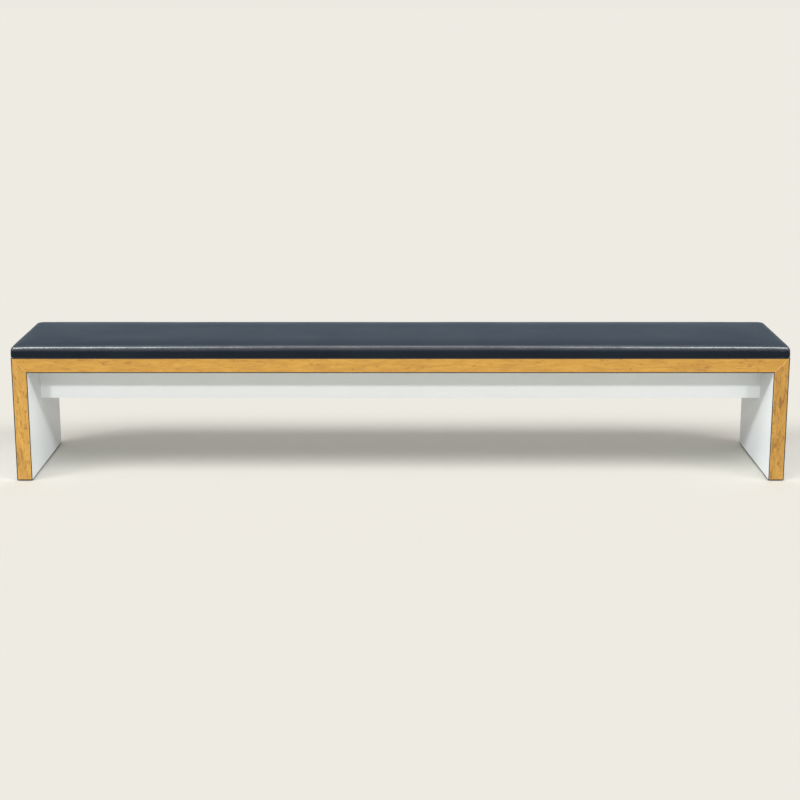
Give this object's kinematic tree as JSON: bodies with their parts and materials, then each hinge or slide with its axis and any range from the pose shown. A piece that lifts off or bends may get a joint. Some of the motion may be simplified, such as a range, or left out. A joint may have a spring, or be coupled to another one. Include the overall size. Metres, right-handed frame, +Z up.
{
  "type": "luggage bench",
  "caption": "Long low bench with mitred oak-edged white panels, a stretcher rail under the top, a dark padded leather seat for bags or sitting, and adjustable levelling feet.",
  "frame": {"origin": "centre of the bench's footprint, on the floor under the levelling feet", "axes": "+X along the bench to its right end as seen from the front, +Y from the front to the rear, +Z up"},
  "size_m": [2.5, 0.48, 0.45],
  "materials": {
    "oak": "satin",
    "white_laminate": "satin",
    "particle_board": "matte",
    "dark_edging": "matte",
    "white_board": "satin",
    "white_edging": "satin",
    "beech": "matte",
    "plywood": "matte",
    "zinc": "satin",
    "steel": "satin",
    "leather": "satin",
    "foam": "matte",
    "dust_cloth": "matte",
    "nylon": "satin"
  },
  "bodies": {
    "carcass": {"top_upper_laminate": "white_laminate", "top_lower_laminate": "white_laminate", "top_core": "particle_board", "top_front_lipping": "oak", "top_rear_lipping": "oak", "left_outer_laminate": "white_laminate", "left_inner_laminate": "white_laminate", "left_side_core": "particle_board", "left_front_lipping": "oak", "left_rear_lipping": "oak", "left_bottom_edging": "dark_edging", "left_mitre_spline": "plywood", "left_cam": "zinc", "left_cam_bolt": "steel", "left_rail_dowel_lower": "beech", "left_rail_dowel_upper": "beech", "right_outer_laminate": "white_laminate", "right_inner_laminate": "white_laminate", "right_side_core": "particle_board", "right_front_lipping": "oak", "right_rear_lipping": "oak", "right_bottom_edging": "dark_edging", "right_mitre_spline": "plywood", "right_cam": "zinc", "right_cam_bolt": "steel", "right_rail_dowel_lower": "beech", "right_rail_dowel_upper": "beech", "rail_board": "white_board", "rail_bottom_edging": "white_edging", "rail_top_dowel_1": "beech", "rail_top_dowel_2": "beech", "rail_top_dowel_3": "beech", "pad_cover": "leather", "pad_foam": "foam", "pad_base_board": "plywood", "pad_dust_cover": "dust_cloth", "pad_bolt_1": "steel", "pad_bolt_2": "steel", "pad_bolt_3": "steel", "pad_bolt_4": "steel", "pad_bolt_5": "steel", "pad_bolt_6": "steel", "pad_tee_nut_1": "steel", "pad_tee_nut_2": "steel", "pad_tee_nut_3": "steel", "pad_tee_nut_4": "steel", "pad_tee_nut_5": "steel", "pad_tee_nut_6": "steel", "front_left_leveller_sleeve": "steel", "rear_left_leveller_sleeve": "steel", "front_right_leveller_sleeve": "steel", "rear_right_leveller_sleeve": "steel"},
    "front_left_foot": {"front_left_leveller_foot": "nylon"},
    "front_left_stud": {"front_left_leveller_stud": "steel"},
    "front_right_foot": {"front_right_leveller_foot": "nylon"},
    "front_right_stud": {"front_right_leveller_stud": "steel"},
    "rear_left_foot": {"rear_left_leveller_foot": "nylon"},
    "rear_left_stud": {"rear_left_leveller_stud": "steel"},
    "rear_right_foot": {"rear_right_leveller_foot": "nylon"},
    "rear_right_stud": {"rear_right_leveller_stud": "steel"}
  },
  "joints": [
    {"name": "front_left_foot_travel", "type": "slide", "parent": "carcass", "child": "front_left_foot", "axis": [0, 0, -1], "range_m": [0, 0.015]},
    {"name": "front_left_stud_turn", "type": "hinge", "parent": "front_left_foot", "child": "front_left_stud", "pos_m": [-1.225, -0.195, 0], "axis": [0, 0, -1], "range_deg": [0, 4320]},
    {"name": "front_right_foot_travel", "type": "slide", "parent": "carcass", "child": "front_right_foot", "axis": [0, 0, -1], "range_m": [0, 0.015]},
    {"name": "front_right_stud_turn", "type": "hinge", "parent": "front_right_foot", "child": "front_right_stud", "pos_m": [1.225, -0.195, 0], "axis": [0, 0, -1], "range_deg": [0, 4320]},
    {"name": "rear_left_foot_travel", "type": "slide", "parent": "carcass", "child": "rear_left_foot", "axis": [0, 0, -1], "range_m": [0, 0.015]},
    {"name": "rear_left_stud_turn", "type": "hinge", "parent": "rear_left_foot", "child": "rear_left_stud", "pos_m": [-1.225, 0.195, 0], "axis": [0, 0, -1], "range_deg": [0, 4320]},
    {"name": "rear_right_foot_travel", "type": "slide", "parent": "carcass", "child": "rear_right_foot", "axis": [0, 0, -1], "range_m": [0, 0.015]},
    {"name": "rear_right_stud_turn", "type": "hinge", "parent": "rear_right_foot", "child": "rear_right_stud", "pos_m": [1.225, 0.195, 0], "axis": [0, 0, -1], "range_deg": [0, 4320]}
  ],
  "couplings": [
    {"joint": "front_left_stud_turn", "follows": "front_left_foot_travel", "rad_per_m": 5026.5},
    {"joint": "front_right_stud_turn", "follows": "front_right_foot_travel", "rad_per_m": 5026.5},
    {"joint": "rear_left_stud_turn", "follows": "rear_left_foot_travel", "rad_per_m": 5026.5},
    {"joint": "rear_right_stud_turn", "follows": "rear_right_foot_travel", "rad_per_m": 5026.5}
  ]
}
